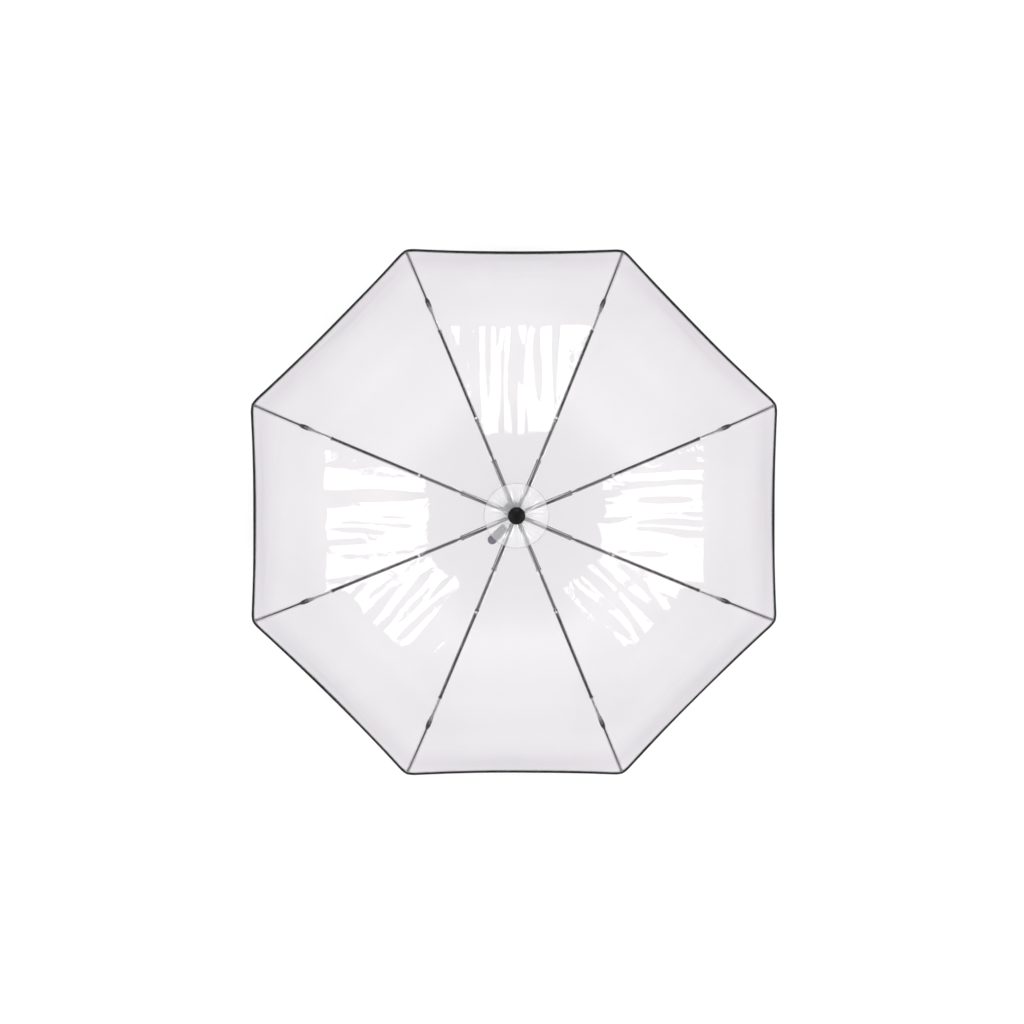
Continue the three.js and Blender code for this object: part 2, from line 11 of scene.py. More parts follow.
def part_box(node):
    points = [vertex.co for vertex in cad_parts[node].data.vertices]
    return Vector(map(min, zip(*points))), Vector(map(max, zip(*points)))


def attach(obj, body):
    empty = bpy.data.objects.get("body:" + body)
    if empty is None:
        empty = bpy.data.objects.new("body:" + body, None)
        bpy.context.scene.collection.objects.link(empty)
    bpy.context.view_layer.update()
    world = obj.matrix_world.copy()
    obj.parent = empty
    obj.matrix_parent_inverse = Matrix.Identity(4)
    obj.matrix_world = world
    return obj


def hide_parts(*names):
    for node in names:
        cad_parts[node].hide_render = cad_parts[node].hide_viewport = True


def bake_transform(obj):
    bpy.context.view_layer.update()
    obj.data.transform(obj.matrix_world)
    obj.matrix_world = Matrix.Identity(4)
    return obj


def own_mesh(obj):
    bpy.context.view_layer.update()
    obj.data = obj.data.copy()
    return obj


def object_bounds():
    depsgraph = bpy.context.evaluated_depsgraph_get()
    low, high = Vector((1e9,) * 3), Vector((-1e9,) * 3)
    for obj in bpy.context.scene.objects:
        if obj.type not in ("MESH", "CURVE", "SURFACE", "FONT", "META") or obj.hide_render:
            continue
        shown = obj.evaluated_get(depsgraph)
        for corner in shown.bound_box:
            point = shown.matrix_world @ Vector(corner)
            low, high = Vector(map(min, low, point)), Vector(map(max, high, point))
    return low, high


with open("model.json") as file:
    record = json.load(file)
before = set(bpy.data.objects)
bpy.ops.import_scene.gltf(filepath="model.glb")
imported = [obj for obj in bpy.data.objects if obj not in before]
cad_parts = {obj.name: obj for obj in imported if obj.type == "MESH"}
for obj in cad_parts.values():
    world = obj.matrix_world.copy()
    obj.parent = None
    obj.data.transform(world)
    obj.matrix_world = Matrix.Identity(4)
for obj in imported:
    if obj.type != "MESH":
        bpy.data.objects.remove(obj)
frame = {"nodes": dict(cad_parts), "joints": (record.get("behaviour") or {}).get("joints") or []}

CAD_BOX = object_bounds()
JOINTS = {joint["name"]: joint for joint in frame["joints"]}
MM = 0.001
SCENE = bpy.context.scene

# ---- the frame's line, as in the CAD model -----------------------------------

RIB_COUNT = 8
FIRST_AZIMUTH = math.pi / RIB_COUNT
TOP_SLOPE = math.radians(7)
MIDDLE_SLOPE = math.radians(17)
ARM_SLOPE = math.radians(27)
ROD_START_SLOPE = math.radians(31)
ROD_END_SLOPE = math.radians(57)
TOP_RIB_LENGTH = 151.6 * MM
MIDDLE_RIB_LENGTH = 165.2 * MM
ARM_LENGTH = 56 * MM
CONNECTOR_LENGTH = 10 * MM
ROD_HALF_LENGTH = 70 * MM
TIP_LENGTH = 8 * MM
PIN_OFFSET = 2.4 * MM

CANOPY_HOLE_RADIUS = 7.2 * MM
CANOPY_LIFT_HINGE = 6.4 * MM
CANOPY_LIFT_RIM = 5 * MM
PANEL_BOW = 4.5 * MM
CORNER_ROUND = 2.6 * MM
CORNER_REACH = 15 * MM
DISC_RADIUS = 50 * MM
DISC_HOLE_RADIUS = 13 * MM
COLLAR_RADIUS = 19 * MM
CREASE_SQUARENESS = 0.6
RIM_SETBACK = 2.3 * MM
TAPE_COVER = 6 * MM
WELT_END = 12 * MM


def pin(name):
    """A joint's pin as (distance from the shaft, height)."""
    x, y, z = JOINTS[name]["pos_m"]
    return Vector((math.hypot(x, y), z))


def step(start, slope, along, across=0.0):
    """A point further down a rib of this slope, and off it towards the canopy."""
    return Vector((
        start.x + along * math.cos(slope) + across * math.sin(slope),
        start.y - along * math.sin(slope) + across * math.cos(slope),
    ))


def rib_azimuth(index):
    return FIRST_AZIMUTH + index * 2 * math.pi / RIB_COUNT


CROWN_PIN = pin("top_rib_1_hinge")
FIRST_PIN = pin("middle_rib_1_hinge")
SECOND_PIN = pin("outer_rib_1_hinge")
FIRST_FOLD = step(CROWN_PIN, TOP_SLOPE, TOP_RIB_LENGTH)
SECOND_FOLD = step(SECOND_PIN, ARM_SLOPE, 0, PIN_OFFSET)
ARM_END = step(SECOND_FOLD, ARM_SLOPE, ARM_LENGTH)
ROD_START = step(ARM_END, ARM_SLOPE, CONNECTOR_LENGTH)
ROD_CONTROL = step(ROD_START, ROD_START_SLOPE, ROD_HALF_LENGTH)
ROD_END = step(ROD_CONTROL, ROD_END_SLOPE, ROD_HALF_LENGTH)
TIP_END = step(ROD_END, ROD_END_SLOPE, TIP_LENGTH)
HUB_Z = CROWN_PIN.y + 8 * MM


def rod_point(share):
    """The sprung rod's line, and its slope there."""
    point = ROD_START.lerp(ROD_CONTROL, share).lerp(ROD_CONTROL.lerp(ROD_END, share), share)
    return point, ROD_START_SLOPE + (ROD_END_SLOPE - ROD_START_SLOPE) * share


def smooth_line(points, steps=40):
    """A Catmull-Rom line through 2-D points, as an array."""
    padded = [2 * points[0] - points[1], *points, 2 * points[-1] - points[-2]]
    line = []
    for before, start, end, after in zip(padded, padded[1:], padded[2:], padded[3:]):
        for index in range(steps):
            t = index / steps
            line.append(0.5 * (
                2 * start + (end - before) * t
                + (2 * before - 5 * start + 4 * end - after) * t ** 2
                + (3 * start - before - 3 * end + after) * t ** 3
            ))
    line.append(points[-1])
    return np.array(line, float)


def relaxed(line, spread=0.016, spacing=0.001):
    """The line as taut film takes it: its bends are eased over a few centimetres, its ends stay."""
    lengths = np.concatenate(([0], np.cumsum(np.hypot(*np.diff(line, axis=0).T))))
    even = np.arange(0, lengths[-1] + spacing / 2, spacing)
    points = np.stack([np.interp(even, lengths, line[:, axis]) for axis in (0, 1)], axis=1)
    reach = int(3 * spread / spacing)
    weights = np.exp(-0.5 * (np.arange(-reach, reach + 1) * spacing / spread) ** 2)
    weights /= weights.sum()
    before = 2 * points[0] - points[reach:0:-1]
    after = 2 * points[-1] - points[-2:-reach - 2:-1]
    padded = np.concatenate((before, points, after))
    return np.stack([np.convolve(padded[:, axis], weights, "valid") for axis in (0, 1)], axis=1)


def canopy_line():
    """The canopy's line above a rib, hub to rim: its length, then share, radius, height and slope."""
    knots = [Vector((CANOPY_HOLE_RADIUS, HUB_Z)), Vector((CROWN_PIN.x + 6 * MM, HUB_Z - 0.3 * MM))]
    knots.append(step(FIRST_FOLD, TOP_SLOPE, 0, CANOPY_LIFT_HINGE))
    knots.append(step(FIRST_FOLD, MIDDLE_SLOPE, MIDDLE_RIB_LENGTH / 2, CANOPY_LIFT_RIM))
    knots.append(step(SECOND_FOLD, MIDDLE_SLOPE, 0, CANOPY_LIFT_RIM))
    knots.append(step(ARM_END, ARM_SLOPE, 0, CANOPY_LIFT_RIM))
    for share in (0.4, 0.75):
        point, slope = rod_point(share)
        knots.append(step(point, slope, 0, CANOPY_LIFT_RIM))
    knots.append(step(TIP_END, ROD_END_SLOPE, 0, CANOPY_LIFT_RIM))
    line = relaxed(smooth_line(knots))
    lengths = np.hypot(*np.diff(line, axis=0).T)
    along = np.concatenate(([0], np.cumsum(lengths)))
    slope = np.arctan2(-np.gradient(line[:, 1]), np.gradient(line[:, 0]))
    return along[-1], along / along[-1], line[:, 0], line[:, 1], slope


LINE_LENGTH, LINE_SHARE, LINE_RADIUS, LINE_HEIGHT, LINE_SLOPE = canopy_line()


def share_at_radius(radius):
    return float(np.interp(radius, LINE_RADIUS, LINE_SHARE))


U_COLLAR = share_at_radius(COLLAR_RADIUS)
FIRST_CREASE = FIRST_PIN.x + 1.5 * MM
SECOND_CREASE = SECOND_PIN.x + 2 * MM
U_FIRST = share_at_radius(FIRST_CREASE)
U_SECOND = share_at_radius(SECOND_CREASE)
U_RIM = 1 - RIM_SETBACK / LINE_LENGTH


# ---- the canopy's surface ----------------------------------------------------

# Ripples are (height, size across the panel, size along it, seed).
COARSE_RIPPLE = (2.0 * MM, 0.045, 0.24, 0.3)
FINE_RIPPLE = (1.1 * MM, 0.016, 0.10, 1.1)
RIM_RIPPLE = (0.7 * MM, 0.16, 0.016, 2.9)
RIM_CREASE_HEIGHTS = (0.7, 0.3, 0.7, 0.9, 0.5, 0.3, 0.5, 0.9)
RIM_CREASE_SIZES = (0.12, 0.006, 5.3)
HOLLOW_DEPTH = 8.0 * MM
PLEAT_HEIGHT = 0.8 * MM
PLEATS_ROUND = 32


def soft_step(value, low, high):
    """From 0 at low to 1 at high, easing at both ends."""
    t = np.clip((value - low) / (high - low), 0, 1)
    return t * t * (3 - 2 * t)


def ripple(x, y, seed):
    """Smooth noise from -1 to 1 on arrays."""
    flat = [noise.noise(Vector((a, b, seed))) for a, b in zip(x.ravel(), y.ravel())]
    return np.array(flat).reshape(x.shape)


def wrinkles(panel, u, v, radius):
    """How far the film stands off its taut shape. It is nothing along a rib.

    The shares given to soft_step say where each zone begins and ends between hub and rim.
    """
    chord = 2 * radius * math.sin(math.pi / RIB_COUNT)
    across = (v - 0.5) * chord
    out = radius * math.cos(math.pi / RIB_COUNT)
    between = np.sin(math.pi * np.clip(v, 0, 1))
    seed = 3.7 * panel
    body = soft_step(u, 0.05, 0.25) * (1 - soft_step(u, 0.86, 0.99))
    rim = soft_step(u, 0.86, 0.95)
    hollow = 4 * v * (1 - v) * soft_step(u, 0.1, 0.75) * (1 - soft_step(u, 0.72, 1))
    lift = -HOLLOW_DEPTH * hollow
    rim_crease = (RIM_CREASE_HEIGHTS[panel] * MM, *RIM_CREASE_SIZES)
    zones = ((COARSE_RIPPLE, body), (FINE_RIPPLE, body), (RIM_RIPPLE, rim), (rim_crease, rim))
    for (height, size_across, size_along, offset), zone in zones:
        lift += height * ripple(across / size_across, out / size_along, seed + offset) * between * zone
    turn = (panel + v) * 2 * math.pi / RIB_COUNT
    pleat = np.cos(turn * PLEATS_ROUND + 1.5 * np.cos(turn * 5)) * (1 - soft_step(radius, 0.030, 0.052))
    return lift + PLEAT_HEIGHT * pleat * soft_step(radius, 0.012, 0.020) * np.clip(2 * between, 0, 1)


def canopy_points(panel, u, v, lift):
    """Points of one panel: u from the hub (0) to the rim (1), v from a rib (0) to the next one (1)."""
    slope = np.interp(u, LINE_SHARE, LINE_SLOPE)
    radius = np.interp(u, LINE_SHARE, LINE_RADIUS)
    height = np.interp(u, LINE_SHARE, LINE_HEIGHT)
    middle = rib_azimuth(panel) + math.pi / RIB_COUNT
    off = lift + wrinkles(panel, u, v, radius)
    chord = 2 * radius * math.sin(math.pi / RIB_COUNT)
    from_rib = chord * np.minimum(v, 1 - v)
    corner = CORNER_ROUND * np.clip(1 - from_rib / CORNER_REACH, 0, 1) ** 2 * soft_step(u, 0.9, 1)
    inward = PANEL_BOW * u ** 2 * 4 * v * (1 - v) + corner
    out = radius * math.cos(math.pi / RIB_COUNT) - inward + off * np.sin(slope)
    across = (v - 0.5) * chord
    return np.stack((
        out * math.cos(middle) - across * math.sin(middle),
        out * math.sin(middle) + across * math.cos(middle),
        height + off * np.cos(slope) + 0 * v,
    ), axis=-1)


def level(u):
    """The line round the canopy at this share."""
    return lambda side: u + 0 * side


def crease(radius):
    """Where the canopy folds beside a rib's joint: between level and straight across the rib."""
    square = CREASE_SQUARENESS * 2 * math.sin(math.pi / RIB_COUNT) ** 2
    return lambda side: np.interp(radius / (1 - square * np.abs(side)), LINE_RADIUS, LINE_SHARE)


def rib_patch(rib, u, side, lift=0.0):
    """A patch of canopy centred on a rib: side runs from -0.5, half-way to the rib before, to 0.5."""
    before = canopy_points((rib - 1) % RIB_COUNT, u, 1 + np.minimum(side, 0), lift)
    after = canopy_points(rib, u, np.maximum(side, 0), lift)
    return np.where((side < 0)[..., None], before, after)


def disc_patch(rib, radii, angles, lift):
    """A patch of canopy in polar coordinates about the shaft; angles are measured from the rib."""
    radius, angle = np.meshgrid(radii, angles, indexing="ij")
    half_turn = math.pi / RIB_COUNT
    from_middle = np.where(angle < 0, angle + half_turn, angle - half_turn)
    line_radius = radius * np.cos(from_middle) / math.cos(half_turn)
    u = np.interp(line_radius, LINE_RADIUS, LINE_SHARE)
    v = 0.5 + np.tan(from_middle) / (2 * math.tan(half_turn))
    before = canopy_points((rib - 1) % RIB_COUNT, u, v, lift)
    after = canopy_points(rib, u, v, lift)
    return np.where((angle < 0)[..., None], before, after)


def patch_normals(points):
    """Upward normals at each point of a grid of points."""
    down = np.gradient(points, axis=0)
    across = np.gradient(points, axis=1)
    normals = np.cross(down, across)
    return normals / np.linalg.norm(normals, axis=-1, keepdims=True)


# ---- making objects ----------------------------------------------------------


def link(obj):
    SCENE.collection.objects.link(obj)
    return obj


def mesh_object(name, points, faces, material, normals=None):
    mesh = bpy.data.meshes.new(name)
    mesh.from_pydata([tuple(p) for p in points], [], faces)
    mesh.materials.append(material)
    mesh.polygons.foreach_set("use_smooth", [True] * len(mesh.polygons))
    if normals is not None:
        mesh.normals_split_custom_set_from_vertices([tuple(n) for n in normals])
    return link(bpy.data.objects.new(name, mesh))


def grid_faces(rows, columns, wrap=False):
    faces = []
    for row in range(rows - 1):
        for column in range(columns if wrap else columns - 1):
            after = (column + 1) % columns
            faces.append((
                row * columns + column,
                (row + 1) * columns + column,
                (row + 1) * columns + after,
                row * columns + after,
            ))
    return faces


def film_patch(name, rib, low, high, rows, columns, material, lift=0.0):
    """Film round a rib, from low(side) to high(side). Its normals match those of its neighbours."""
    side = (np.arange(-1, columns + 2) / columns - 0.5)[None, :]
    first, last = low(side), high(side)
    row = (last - first) / rows
    inner = 1 if np.min(first - row) > 0 else 0
    outer = 1 if np.max(last + row) < 1 else 0
    u = first + row * np.arange(-inner, rows + 1 + outer)[:, None]
    points = rib_patch(rib, u, side + 0 * u, lift)
    normals = patch_normals(points)
    keep = (slice(inner, inner + rows + 1), slice(1, columns + 2))
    return mesh_object(
        name, points[keep].reshape(-1, 3), grid_faces(rows + 1, columns + 1), material,
        normals[keep].reshape(-1, 3),
    )


def swept(name, rings, material):
    """A closed body through rings of points, all with the same number of points."""
    rows, columns = len(rings), len(rings[0])
    points = [p for ring in rings for p in ring]
    faces = grid_faces(rows, columns, wrap=True)
    faces.append(tuple(range(columns)))
    faces.append(tuple(reversed(range((rows - 1) * columns, rows * columns))))
    obj = mesh_object(name, points, faces, material)
    face_outwards(obj)
    return obj


def face_outwards(obj):
    bm = bmesh.new()
    bm.from_mesh(obj.data)
    bmesh.ops.recalc_face_normals(bm, faces=bm.faces)
    bm.to_mesh(obj.data)
    bm.free()


def round_path(name, path, radius, material, sides):
    """A round rod or thread along a path, with a radius or one radius per point."""
    path = [Vector(p) for p in path]
    radii = radius if hasattr(radius, "__len__") else [radius] * len(path)
    rings = []
    side = None
    for index, point in enumerate(path):
        ahead = path[min(index + 1, len(path) - 1)] - path[max(index - 1, 0)]
        ahead.normalize()
        if side is None:
            side = ahead.orthogonal().normalized()
        side = (side - ahead * side.dot(ahead)).normalized()
        up = ahead.cross(side)
        rings.append([
            point + radii[index] * (math.cos(a) * side + math.sin(a) * up)
            for a in (2 * math.pi * k / sides for k in range(sides))
        ])
    return swept(name, rings, material)


def turned(name, outline, material, columns=96):
    """A body of revolution about the shaft from (radius, height) pairs."""
    rings = []
    angles = [2 * math.pi * k / columns for k in range(columns)]
    for radius, height in outline:
        rings.append([(radius * math.cos(a), radius * math.sin(a), height) for a in angles])
    closed = outline[0][0] > 1e-6 or outline[-1][0] > 1e-6
    points = [p for ring in rings for p in ring]
    faces = grid_faces(len(rings), columns, wrap=True)
    if closed:
        last = (len(rings) - 1) * columns
        for column in range(columns):
            after = (column + 1) % columns
            faces.append((last + column, column, after, last + after))
    obj = mesh_object(name, points, faces, material)
    bm = bmesh.new()
    bm.from_mesh(obj.data)
    bmesh.ops.remove_doubles(bm, verts=bm.verts, dist=1e-6)
    bmesh.ops.recalc_face_normals(bm, faces=bm.faces)
    bm.to_mesh(obj.data)
    bm.free()
    return obj


def rounded(outline, radius, steps=4):
    """The outline with each inner corner rounded off."""
    points = [Vector(p) for p in outline]
    result = [tuple(points[0])]
    for before, corner, after in zip(points, points[1:], points[2:]):
        reach = min(radius, (before - corner).length / 2.2, (after - corner).length / 2.2)
        start = corner + (before - corner).normalized() * reach
        end = corner + (after - corner).normalized() * reach
        for index in range(steps + 1):
            t = index / steps
            result.append(tuple(start.lerp(corner, t).lerp(corner.lerp(end, t), t)))
    result.append(tuple(points[-1]))
    return result


def finished_mesh(bm, name, material, sharp_angle):
    """The mesh, shaded smooth except where faces meet at more than this angle."""
    mesh = bpy.data.meshes.new(name)
    bm.to_mesh(mesh)
    bm.free()
    mesh.materials.clear()
    mesh.materials.append(material)
    mesh.polygons.foreach_set("use_smooth", [True] * len(mesh.polygons))
    mesh.set_sharp_from_angle(angle=math.radians(sharp_angle))
    return mesh


def refined_mesh(node, name, material, bevel):
    """A copy of a CAD node's shape with its sharp edges rounded."""
    bm = bmesh.new()
    bm.from_mesh(frame["nodes"][node].data)
    bmesh.ops.remove_doubles(bm, verts=bm.verts, dist=2e-6)
    bmesh.ops.dissolve_limit(bm, angle_limit=math.radians(1.5), verts=bm.verts, edges=bm.edges)
    sharp = [e for e in bm.edges if len(e.link_faces) == 2 and e.calc_face_angle(0) > math.radians(32)]
    bmesh.ops.bevel(
        bm, geom=sharp, offset=bevel, offset_type="OFFSET", segments=2, profile=0.5,
        affect="EDGES", clamp_overlap=True,
    )
    bmesh.ops.triangulate(bm, faces=[f for f in bm.faces if len(f.verts) > 4])
    return finished_mesh(bm, name, material, 38)


def turn_about_shaft(rib):
    """From the first rib's place to another's."""
    return Matrix.Rotation(rib * 2 * math.pi / RIB_COUNT, 4, "Z")


def rib_plane_point(rib, point, across=0.0):
    """The 3-D place of a (distance from the shaft, height) point in a rib's plane, or beside it."""
    azimuth = rib_azimuth(rib)
    return Vector((
        point.x * math.cos(azimuth) - across * math.sin(azimuth),
        point.x * math.sin(azimuth) + across * math.cos(azimuth),
        point.y,
    ))


def mesh_only(obj):
    """The object's mesh, with the object itself removed."""
    mesh = obj.data
    bpy.data.objects.remove(obj)
    return mesh


def gather(obj):
    """Gives a soft piece its own copy of its mesh."""
    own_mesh(obj)


# ---- materials ---------------------------------------------------------------


def add_node(tree, kind, **inputs):
    node = tree.nodes.new(kind)
    for name, value in inputs.items():
        node.inputs[name.replace("_", " ")].default_value = value
    return node


def math_node(tree, operation, *values):
    """A maths node. Each value is a number or the socket that feeds it."""
    node = tree.nodes.new("ShaderNodeMath")
    node.operation = operation
    for socket, value in zip(node.inputs, values):
        if isinstance(value, (int, float)):
            socket.default_value = value
        else:
            tree.links.new(value, socket)
    return node


def ramp_node(tree, source, stops):
    """A colour ramp fed by source, with (position, grey or colour) stops."""
    node = tree.nodes.new("ShaderNodeValToRGB")
    elements = node.color_ramp.elements
    while len(elements) < len(stops):
        elements.new(0.5)
    for element, (position, colour) in zip(elements, stops):
        element.position = position
        element.color = (*colour, 1) if hasattr(colour, "__len__") else (colour, colour, colour, 1)
    tree.links.new(source, node.inputs["Fac"])
    return node


def new_material(name):
    material = bpy.data.materials.new(name)
    material.use_nodes = True
    return material, material.node_tree


def stretched_coordinates(tree, scale):
    coordinates = tree.nodes.new("ShaderNodeTexCoord")
    mapping = add_node(tree, "ShaderNodeMapping", Scale=scale)
    tree.links.new(coordinates.outputs["Object"], mapping.inputs["Vector"])
    return mapping.outputs["Vector"]


def finish_material(name, dark, light, roughness, metallic, grain, bump, stretch=(1, 1, 1), specular=0.5):
    """A solid finish: its colour, its roughness and its fine relief all vary with one grain."""
    material, tree = new_material(name)
    shader = tree.nodes["Principled BSDF"]
    shader.inputs["Metallic"].default_value = metallic
    shader.inputs["Specular IOR Level"].default_value = specular
    vector = stretched_coordinates(tree, stretch)
    fine = add_node(tree, "ShaderNodeTexNoise", Scale=grain, Detail=4.0, Roughness=0.6)
    broad = add_node(tree, "ShaderNodeTexNoise", Scale=grain / 14, Detail=2.0)
    tree.links.new(vector, fine.inputs["Vector"])
    tree.links.new(vector, broad.inputs["Vector"])
    half = math_node(tree, "MULTIPLY", broad.outputs["Fac"], 0.5)
    mixed = math_node(tree, "MULTIPLY_ADD", fine.outputs["Fac"], 0.5, half.outputs[0])
    colour = ramp_node(tree, mixed.outputs[0], [(0.35, dark), (0.65, light)])
    rough = ramp_node(tree, mixed.outputs[0], [(0.3, roughness[0]), (0.7, roughness[1])])
    relief = add_node(tree, "ShaderNodeBump", Strength=0.6, Distance=bump)
    tree.links.new(fine.outputs["Fac"], relief.inputs["Height"])
    tree.links.new(colour.outputs["Color"], shader.inputs["Base Color"])
    tree.links.new(rough.outputs["Color"], shader.inputs["Roughness"])
    tree.links.new(relief.outputs["Normal"], shader.inputs["Normal"])
    return material


def woven_material(name, dark, light, threads):
    """Plain weave: two crossed sets of threads, with uneven dye."""
    material, tree = new_material(name)
    shader = tree.nodes["Principled BSDF"]
    shader.inputs["Specular IOR Level"].default_value = 0.15
    shader.inputs["Roughness"].default_value = 0.85
    weave = None
    for direction in ("X", "Y", "Z"):
        wave = add_node(tree, "ShaderNodeTexWave", Scale=threads, Distortion=0.4, Detail=1.0)
        wave.bands_direction = direction
        tree.links.new(stretched_coordinates(tree, (1, 1, 1)), wave.inputs["Vector"])
        if weave is None:
            weave = wave.outputs["Fac"]
        else:
            operation = "MULTIPLY" if direction == "Y" else "MAXIMUM"
            weave = math_node(tree, operation, weave, wave.outputs["Fac"]).outputs[0]
    dye = add_node(tree, "ShaderNodeTexNoise", Scale=60.0, Detail=3.0)
    shade = math_node(tree, "MULTIPLY", weave, dye.outputs["Fac"])
    colour = ramp_node(tree, shade.outputs[0], [(0.05, dark), (0.6, light)])
    relief = add_node(tree, "ShaderNodeBump", Strength=0.8, Distance=0.15 * MM)
    tree.links.new(weave, relief.inputs["Height"])
    tree.links.new(colour.outputs["Color"], shader.inputs["Base Color"])
    tree.links.new(relief.outputs["Normal"], shader.inputs["Normal"])
    return material


def film_material(name, face_on, sloping, edge_on, haze, haze_colour, mirror, crinkle):
    """Clear film: it tints what is behind it by its slope, mirrors by its angle, and is a little milky."""
    material, tree = new_material(name)
    tree.nodes.clear()
    output = tree.nodes.new("ShaderNodeOutputMaterial")
    vector = stretched_coordinates(tree, (1, 1, 1))
    fold = add_node(tree, "ShaderNodeTexNoise", Scale=45.0, Detail=3.0, Distortion=0.6)
    tree.links.new(vector, fold.inputs["Vector"])
    relief = add_node(tree, "ShaderNodeBump", Strength=1.0, Distance=crinkle)
    tree.links.new(fold.outputs["Fac"], relief.inputs["Height"])
    facing = add_node(tree, "ShaderNodeLayerWeight", Blend=0.5)
    stops = [(0.0, face_on), (0.04, face_on), (0.2, sloping), (0.28, sloping), (0.55, edge_on)]
    tint = ramp_node(tree, facing.outputs["Facing"], stops)
    clear = tree.nodes.new("ShaderNodeBsdfTransparent")
    tree.links.new(tint.outputs["Color"], clear.inputs["Color"])
    milk = tree.nodes.new("ShaderNodeBsdfDiffuse")
    milk.inputs["Color"].default_value = (*haze_colour, 1)
    body = tree.nodes.new("ShaderNodeMixShader")
    body.inputs[0].default_value = haze
    tree.links.new(clear.outputs[0], body.inputs[1])
    tree.links.new(milk.outputs[0], body.inputs[2])
    gloss = add_node(tree, "ShaderNodeBsdfGlossy", Roughness=0.035)
    tree.links.new(relief.outputs["Normal"], gloss.inputs["Normal"])
    fresnel = add_node(tree, "ShaderNodeFresnel", IOR=1.52)
    tree.links.new(relief.outputs["Normal"], fresnel.inputs["Normal"])
    both_faces = math_node(tree, "MULTIPLY", fresnel.outputs[0], mirror)
    both_faces.use_clamp = True
    whole = tree.nodes.new("ShaderNodeMixShader")
    tree.links.new(both_faces.outputs[0], whole.inputs[0])
    tree.links.new(body.outputs[0], whole.inputs[1])
    tree.links.new(gloss.outputs[0], whole.inputs[2])
    tree.links.new(whole.outputs[0], output.inputs["Surface"])
    return material


FILM = film_material(
    "clear_film", (0.868, 0.856, 0.867), (0.970, 0.953, 0.967), (0.74, 0.71, 0.75),
    0.008, (0.8, 0.79, 0.82), 1.15, 0.3 * MM,
)
DISC_FILM = film_material(
    "disc_film", (0.97, 0.965, 0.975), (0.97, 0.965, 0.975), (0.75, 0.75, 0.78),
    0.30, (0.97, 0.97, 0.98), 2.2, 0.8 * MM,
)
SEAM_FILM = film_material(
    "seam_film", (0.965, 0.955, 0.965), (0.965, 0.955, 0.965), (0.74, 0.72, 0.76),
    0.012, (0.9, 0.9, 0.92), 1.2, 0.2 * MM,
)
TAPE = woven_material("hem_tape", 0.005, 0.019, 900.0)
THREAD = finish_material("thread", 0.007, 0.02, (0.7, 0.9), 0, 3000.0, 0.05 * MM, specular=0.2)
LABEL_CLOTH = woven_material("label_cloth", (0.16, 0.15, 0.19), (0.34, 0.32, 0.38), 1400.0)
BLACK_PAINT = finish_material(
    "black_paint", 0.006, 0.014, (0.3, 0.45), 0.0, 900.0, 0.02 * MM, (1, 1, 0.3), specular=0.3
)
ZINC = finish_material("zinc_steel", 0.09, 0.16, (0.28, 0.42), 0.7, 1200.0, 0.01 * MM, (0.2, 0.2, 1))
SILVER = finish_material("silver_arm", 0.55, 0.68, (0.22, 0.34), 0.9, 1500.0, 0.01 * MM, (0.2, 0.2, 1))
RIVET_STEEL = finish_material("rivet_steel", 0.35, 0.5, (0.2, 0.35), 1.0, 2500.0, 0.01 * MM)
MOULDED = finish_material(
    "moulded_plastic", 0.002, 0.005, (0.34, 0.45), 0.0, 1800.0, 0.03 * MM, specular=0.2
)
ROD_FIBRE = finish_material(
    "rod_fibre", 0.005, 0.012, (0.25, 0.4), 0.0, 1500.0, 0.02 * MM, (1, 1, 0.1), specular=0.3
)
SOFT_TOUCH = finish_material("soft_touch_grip", 0.012, 0.022, (0.62, 0.78), 0.0, 2600.0, 0.06 * MM)
FLOOR_PAINT = finish_material("floor_paint", 0.895, 0.905, (0.8, 0.9), 0.0, 30.0, 0.1 * MM)


# ---- the canopy --------------------------------------------------------------

CELL = 4.2 * MM
COLUMNS = 68

SEAM_HALF_WIDTH = 4.0 * MM
TAPE_ABOVE_RIM = 7.6 * MM
TAPE_BELOW_RIM = 2.3 * MM
TAPE_HALF_THICKNESS = 0.65 * MM
STITCHES = 108
STITCH_SIDES = 6
STITCH_SETBACK = 5.0 * MM
STITCH_LIFT = 0.62 * MM
STITCH_RADIUS = 0.28 * MM
DISC_LIFT = 1.0 * MM
BEAD_LIFT = 1.1 * MM
BEAD_RADIUS = 0.35 * MM


def declare_sheet(obj, width, length):
    """Works out a stretched sheet's flat width, so that its rectangle is never smaller than its area. The
    width is not kept.
    """
    area = sum(polygon.area for polygon in obj.data.polygons)
    width = max(width, 1.002 * area / length)


def chord_at(u):
    """The distance from rib to rib at this share."""
    return 2 * float(np.interp(u, LINE_SHARE, LINE_RADIUS)) * math.sin(math.pi / RIB_COUNT)


def soft_piece(piece, body):
    """Puts a soft piece on its body and gives it its own mesh."""
    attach(piece, body)
    gather(piece)
    return piece


def canopy_section(name, rib, low, high, body):
    """The part of the canopy about one rib that moves with one of its links."""
    length = float(high(0.5) - low(0.5)) * LINE_LENGTH
    piece = film_patch(name, rib, low, high, round(length / CELL), COLUMNS, FILM)
    return soft_piece(piece, body)


